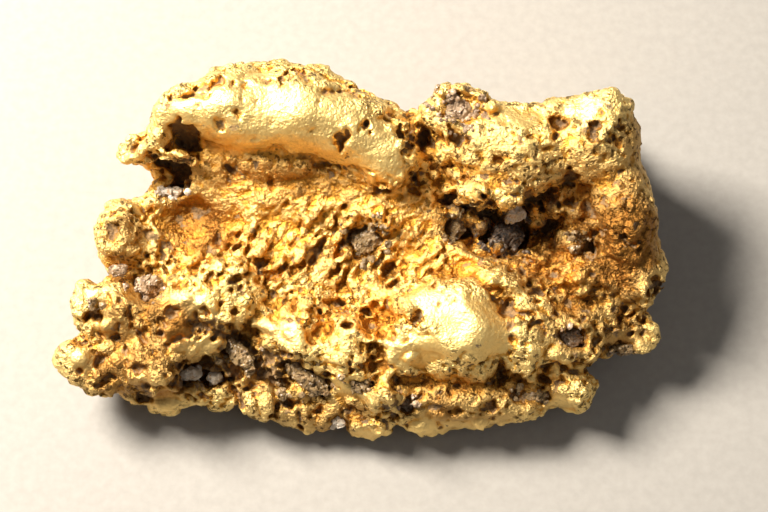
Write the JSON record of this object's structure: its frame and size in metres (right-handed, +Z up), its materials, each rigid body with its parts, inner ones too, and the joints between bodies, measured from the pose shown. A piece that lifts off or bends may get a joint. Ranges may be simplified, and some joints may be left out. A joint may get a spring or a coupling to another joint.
{
  "type": "gold nugget",
  "caption": "Waterworn native gold nugget with a smooth ridge, an open trough, a deep hollow and quartz left in its pockets; lies free on its worn underside.",
  "frame": {"origin": "middle of the bounding box, on the surface that the nugget lies on", "axes": "+X along its longest side, towards the deep hollow; +Y from the low front lobes to the smooth ridge; +Z up"},
  "size_m": [0.1277, 0.0782, 0.0484],
  "materials": {
    "native_gold": "satin",
    "milky_quartz": "satin",
    "smoky_quartz": "satin",
    "stained_quartz": "satin",
    "ironstone": "matte"
  },
  "bodies": {
    "root": {"gold_nugget": "native_gold", "quartz_top_vein": "stained_quartz", "quartz_hollow_left": "smoky_quartz", "ironstone_hollow": "ironstone", "quartz_hollow_white": "milky_quartz", "quartz_hollow_right": "smoky_quartz", "quartz_trough": "smoky_quartz", "quartz_window": "milky_quartz", "quartz_left_pocket": "stained_quartz", "quartz_left_pink": "stained_quartz", "quartz_left_lobe": "smoky_quartz", "quartz_front_long": "milky_quartz", "quartz_front_short": "milky_quartz", "quartz_groove_left": "smoky_quartz", "quartz_groove_right": "smoky_quartz", "quartz_lip_eye": "smoky_quartz", "quartz_front_white": "milky_quartz", "quartz_front_pink": "stained_quartz", "quartz_right_grey": "smoky_quartz", "quartz_right_brown": "stained_quartz", "quartz_right_foot": "smoky_quartz"}
  },
  "joints": []
}
